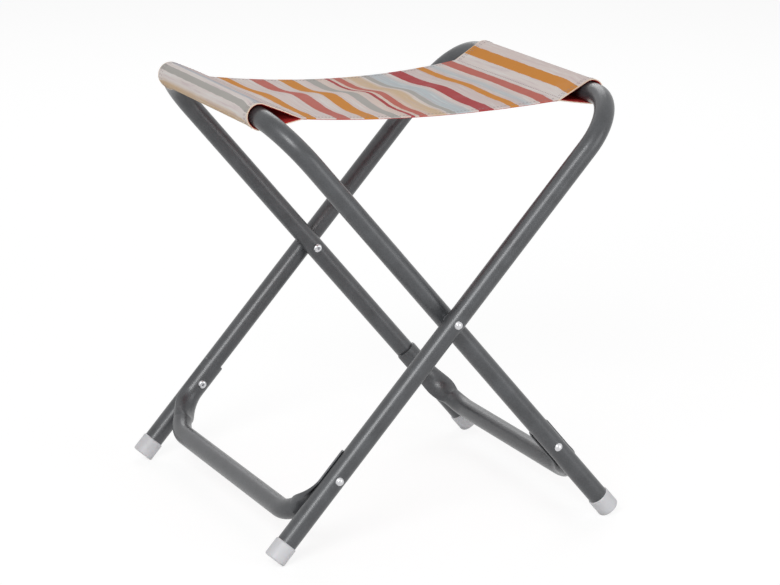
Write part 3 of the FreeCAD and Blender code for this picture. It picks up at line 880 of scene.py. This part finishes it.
def makeStitching():
    # rows of the panel's hems, the two seams and the doubled hems of the sleeves, by part
    shape = makeStitchShape()
    half = seat["halfWidth"]
    rows = {0: [], -1: [], 1: []}
    for end in (-1, 1):
        across = end * (half - stitch["hemInset"])
        runs = evenly(stitch["panelEnd"], panelLength - stitch["panelEnd"], stitch["panelSteps"])
        rows[0] += stitchLine(shape, [(run, across) for run in runs])
    for side in (-1, 1):
        seam = 0.0 if side < 0 else panelLength
        reach = half * stitch["seamShare"]
        seamRun = seam + side * stitch["seamInset"]
        acrossPlaces = evenly(-reach, reach, stitch["seamSteps"])
        rows[side] += stitchLine(shape, [(seamRun, across) for across in acrossPlaces])
        length = sleeveLength(side)
        margin = length * stitch["sleeveEndShare"]
        outwardRuns = evenly(margin, length - margin, stitch["sleeveSteps"])
        runs = [seam + side * run for run in outwardRuns]
        for end in (-1, 1):
            for inset in stitch["sleeveInsets"]:
                rows[side] += stitchLine(shape, [(run, end * (half - inset)) for run in runs])
    bpy.data.objects.remove(shape)
    return {part: joinPieces(row, "stitching" + partEndings[part]) for part, row in rows.items()}


stitching = makeStitching()
print("stitching made:", sum(len(row.data.polygons) for row in stitching.values()), "faces")


bending = {
    "past": 0.019,          # the panel's bend starts and ends this far outside the bars
    "leftHold": 0.013,      # up to here inboard of the bar a sleeve keeps to its tube
    "rightHold": 0.0135,
}


def bendLines():
    # where the panel's turn from one bar to the other would start and end, and a sleeve's share of
    # that turn at the seam; only these lines are worked out, and nothing bends the cloth
    start = barCentre(-1).x - bending["past"]
    end = barCentre(1).x + bending["past"]
    span = end - start
    leftHold = barCentre(-1).x + bending["leftHold"]
    leftSpan = (seamSpot(-1, 0).x - leftHold) * span / (seamSpot(-1, 0).x - start)
    rightHold = barCentre(1).x - bending["rightHold"]
    rightSpan = (rightHold - seamSpot(1, 0).x) * span / (end - seamSpot(1, 0).x)
    half = seat["halfWidth"]
    slant = (seamSpot(1, half).x - seamSpot(1, -half).x) / (2 * half)
    lean = -slant * (1 / rightSpan - 1 / span) * rightSpan ** 2
    return {
        0: ((start, 0), (end, 0)),
        -1: ((leftHold, 0), (leftHold + leftSpan, 0)),
        1: ((rightHold - rightSpan, -lean), (rightHold, 0)),
    }


for part, (begin, finish) in bendLines().items():
    for piece in (clothSheets[part], facings[part], stitching[part]):
        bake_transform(piece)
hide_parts("seat_panel")
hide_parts("seat_sleeve_left")
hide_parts("seat_sleeve_right")

for side, tube in ((-1, "inner_frame_tube"), (1, "outer_frame_tube")):
    ply, wrap = plyLengths(side)
    2 * ply + wrap
    print("sleeve strip", round(2 * ply + wrap, 4), "m long")
print("panel strip", round(panelLength + 2 * seat["flap"], 4), "m long")


studio = {
    "white": (1, 1, 1, 1),
    "floorSize": 40,
    "floorColour": (0.86, 0.86, 0.86, 1),
    "floorGlow": 1.14,          # mixed in where the camera sees the floor: white, with its shadow
    "floorGlowShare": 0.72,
    "ambient": 0.42,
    "backdrop": 1.0,
    "aim": (0, 0, 0.22),
    "lamps": [
        {"name": "key", "place": (-1.7, -2.2, 1.9), "size": 1.2, "watts": 48.0},
        {"name": "fill", "place": (1.6, -2.4, 0.7), "size": 1.4, "watts": 14.0},
        {"name": "back", "place": (0.9, 2.2, 2.2), "size": 1.6, "watts": 19.0},
    ],
}


def makeFloorMaterial():
    sheet = newMaterial("floor_white")
    plain = sheet.add("ShaderNodeBsdfDiffuse", {}, {"Color": studio["floorColour"]})
    glow = sheet.add("ShaderNodeEmission", {}, {
        "Color": studio["white"], "Strength": studio["floorGlow"]})
    share = sheet.seenRays() * studio["floorGlowShare"]
    mixed = sheet.add("ShaderNodeMixShader", {}, {0: share, 1: plain, 2: glow})
    sheet.add("ShaderNodeOutputMaterial", {}, {"Surface": mixed})
    return sheet.owner


def makeFloor():
    clearSelection()
    bpy.ops.mesh.primitive_plane_add(size=studio["floorSize"], location=(0, 0, 0))
    floor = takeObject("studio_floor")
    paintWith(floor, makeFloorMaterial())


def makeLamps():
    for lamp in studio["lamps"]:
        data = bpy.data.lights.new(lamp["name"], "AREA")
        data.shape = "SQUARE"
        data.size = lamp["size"]
        data.energy = lamp["watts"]
        light = bpy.data.objects.new(lamp["name"], data)
        bpy.context.collection.objects.link(light)
        light.location = lamp["place"]
        toward = Vector(studio["aim"]) - Vector(lamp["place"])
        light.rotation_euler = toward.to_track_quat("-Z", "Y").to_euler()


def makeWorld():
    sheet = NodeSheet(bpy.data.worlds.new("studio"))
    soft = sheet.add("ShaderNodeBackground", {}, {0: studio["white"], 1: studio["ambient"]})
    bright = sheet.add("ShaderNodeBackground", {}, {0: studio["white"], 1: studio["backdrop"]})
    mixed = sheet.add("ShaderNodeMixShader", {}, {0: sheet.seenRays(), 1: soft, 2: bright})
    sheet.add("ShaderNodeOutputWorld", {}, {"Surface": mixed})
    bpy.context.scene.world = sheet.owner


# where the photograph was taken from, as fitted to the frame
camera = {
    "place": (-1.24298, -2.80832, 0.97204),
    "right": (0.9136, -0.4065, 0.0105),
    "forward": (0.3968, 0.8855, -0.2418),
    "lens": 145.39,
    "sensorWidth": 36.0,
    "clipEnd": 100.0,
}


def makeCamera():
    data = bpy.data.cameras.new("photo_view")
    data.lens = camera["lens"]
    data.sensor_width = camera["sensorWidth"]
    data.clip_end = camera["clipEnd"]
    view = bpy.data.objects.new("photo_view", data)
    bpy.context.collection.objects.link(view)
    right = Vector(camera["right"]).normalized()
    back = -Vector(camera["forward"]).normalized()
    up = back.cross(right).normalized()
    right = up.cross(back).normalized()
    turn = Matrix((right, up, back)).transposed().to_4x4()
    view.matrix_world = Matrix.Translation(camera["place"]) @ turn
    bpy.context.scene.camera = view


makeFloor()
makeLamps()
makeWorld()
makeCamera()
bpy.context.scene.view_settings.view_transform = "Standard"
print("studio ready")
